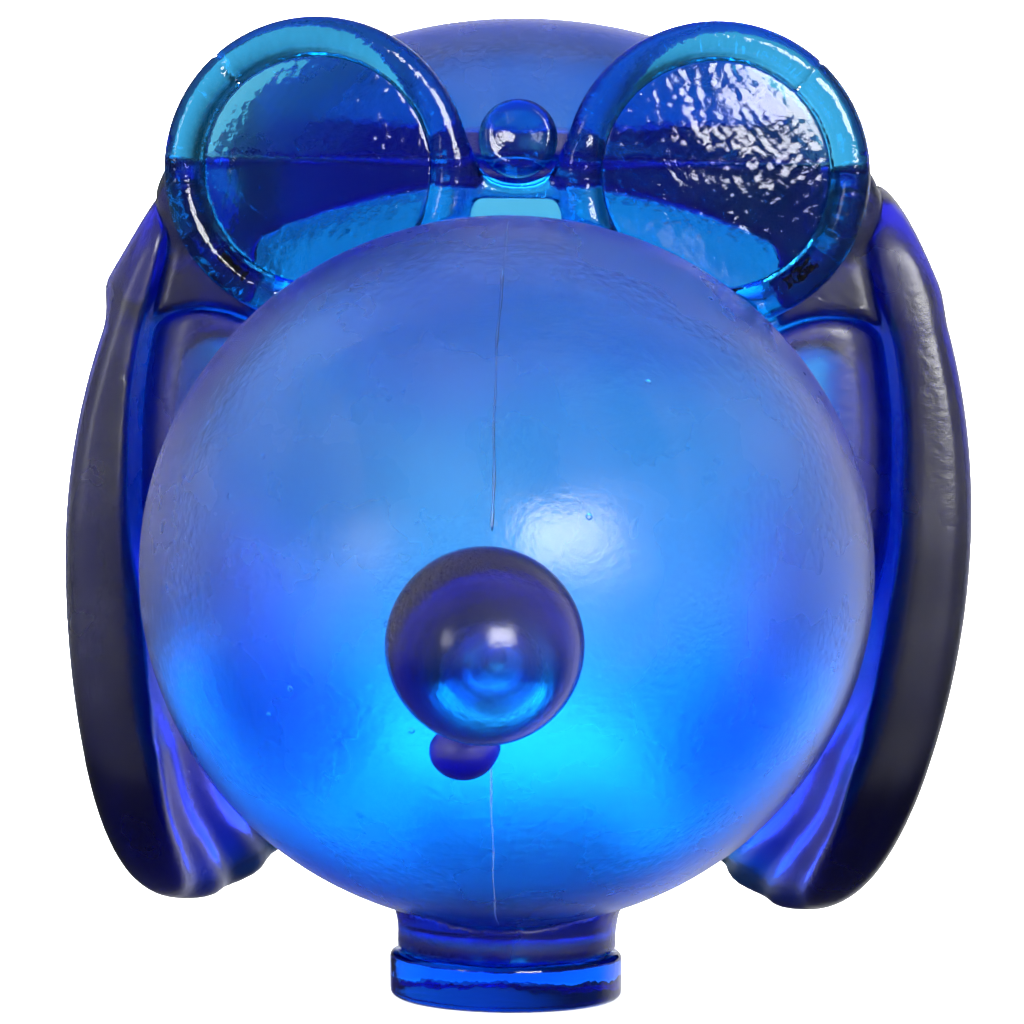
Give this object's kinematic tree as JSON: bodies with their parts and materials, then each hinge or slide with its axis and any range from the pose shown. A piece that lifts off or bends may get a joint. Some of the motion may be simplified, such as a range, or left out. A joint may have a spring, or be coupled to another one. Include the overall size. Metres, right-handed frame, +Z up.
{
  "type": "stress ball",
  "caption": "Soft clear rubber squeeze toy shaped as a cartoon dog's head: a hollow ball muzzle with a ball nose, raised round goggles, hanging ears and a short neck to stand on.",
  "frame": {"origin": "centre of the flat underside of the neck, which the toy stands on", "axes": "+Z up, the nose points along -Y, +X is the dog's own left"},
  "size_m": [0.055, 0.0654, 0.0591],
  "materials": {
    "blue_skin": "satin translucent blue, thin and hollow",
    "blue_solid": "satin translucent blue, solid and dark",
    "blue_gloss": "glossy translucent blue",
    "lens": "glossy hammered translucent blue"
  },
  "bodies": {
    "head": {"head_shell": "blue_skin", "brow_cap": "blue_solid", "skull_dome": "blue_skin", "neck_plug": "blue_gloss", "goggle_frame": "blue_gloss", "lens_left": "lens", "lens_right": "lens", "bridge_knob": "blue_gloss"},
    "muzzle": {"muzzle_shell": "blue_skin", "nose_socket": "blue_solid", "vent_plug": "blue_solid"},
    "nose_tip": {"nose": "blue_solid"},
    "left_ear": {"ear_left": "blue_solid"},
    "right_ear": {"ear_right": "blue_solid"}
  },
  "joints": [
    {"name": "muzzle_squeeze", "type": "slide", "parent": "head", "child": "muzzle", "axis": [0, 1, 0], "range_m": [0, 0.004]},
    {"name": "nose_press", "type": "slide", "parent": "muzzle", "child": "nose_tip", "axis": [0, 1, 0], "range_m": [0, 0.0012]},
    {"name": "left_ear_lift", "type": "hinge", "parent": "head", "child": "left_ear", "pos_m": [0.0195, 0.0077, 0.0478], "axis": [0, -1, 0], "range_deg": [0, 60]},
    {"name": "right_ear_lift", "type": "hinge", "parent": "head", "child": "right_ear", "pos_m": [-0.0195, 0.0077, 0.0478], "axis": [0, 1, 0], "range_deg": [0, 60]}
  ]
}
